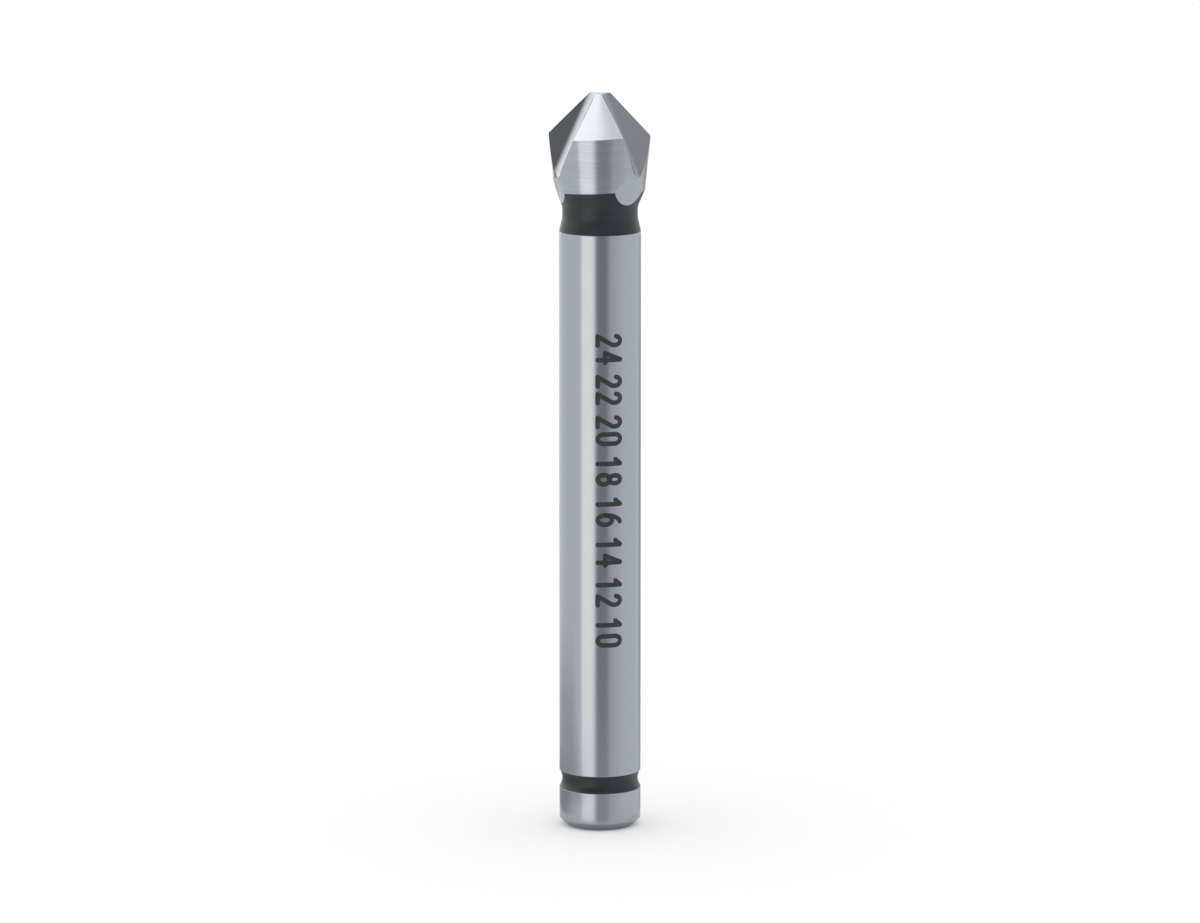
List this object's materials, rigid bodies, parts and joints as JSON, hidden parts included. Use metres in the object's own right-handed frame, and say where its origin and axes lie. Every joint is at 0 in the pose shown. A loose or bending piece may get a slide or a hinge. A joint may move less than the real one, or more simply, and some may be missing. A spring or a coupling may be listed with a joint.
{
  "type": "countersink bit",
  "caption": "Small one-piece countersink bit: straight round shank with a ring groove near its end, slim neck and a fluted conical cutting head with relieved lands.",
  "frame": {"origin": "centre of the flat end of the shank", "axes": "+Z along the axis of the bit from the shank end to the tip; -Y towards the viewer of the main picture, +X to the viewer's right"},
  "size_m": [0.005, 0.0048, 0.0363],
  "materials": {
    "steel": "finely ground bright steel, dark oxide left in the neck and in the ring groove"
  },
  "bodies": {
    "root": {"countersink_bit": "steel"}
  },
  "joints": []
}
